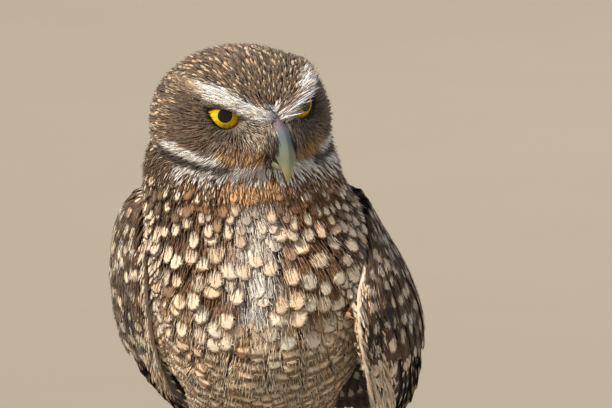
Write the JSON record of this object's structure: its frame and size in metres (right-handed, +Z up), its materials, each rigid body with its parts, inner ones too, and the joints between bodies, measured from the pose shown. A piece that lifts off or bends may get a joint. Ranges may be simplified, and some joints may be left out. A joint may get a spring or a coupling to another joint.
{
  "type": "burrowing owl model",
  "caption": "Life-size still model of a small long-legged owl, standing, head turned to its left and tipped down, one wing folded and one hanging a little open.",
  "frame": {"origin": "on the floor under the middle of the model's box", "axes": "+Z up, the owl's breast faces -Y, its left side is toward +X"},
  "size_m": [0.1194, 0.1374, 0.2044],
  "materials": {
    "brown_plumage": "soft matte feathers, umber brown with buff and white spots",
    "breast_plumage": "soft matte feathers, pale buff spots and bars edged with brown",
    "leg_plumage": "short soft buff feathers",
    "bill_horn": "smooth greenish grey horn with a satin gloss",
    "foot_skin": "dry scaly grey-brown skin",
    "claw_horn": "smooth blackish horn",
    "eye": "wet gloss, yellow iris and black pupil"
  },
  "bodies": {
    "root": {"head": "brown_plumage", "neck": "brown_plumage", "torso": "breast_plumage", "tail": "brown_plumage", "wing_left": "brown_plumage", "wing_right": "brown_plumage", "thigh_left": "leg_plumage", "thigh_right": "leg_plumage", "tarsus_left": "foot_skin", "tarsus_right": "foot_skin", "foot_left": "foot_skin", "foot_right": "foot_skin", "eye_left": "eye", "eye_right": "eye", "bill_upper": "bill_horn", "bill_lower": "bill_horn", "claw_left_inner": "claw_horn", "claw_left_middle": "claw_horn", "claw_left_outer": "claw_horn", "claw_left_hind": "claw_horn", "claw_right_inner": "claw_horn", "claw_right_middle": "claw_horn", "claw_right_outer": "claw_horn", "claw_right_hind": "claw_horn"}
  },
  "joints": []
}
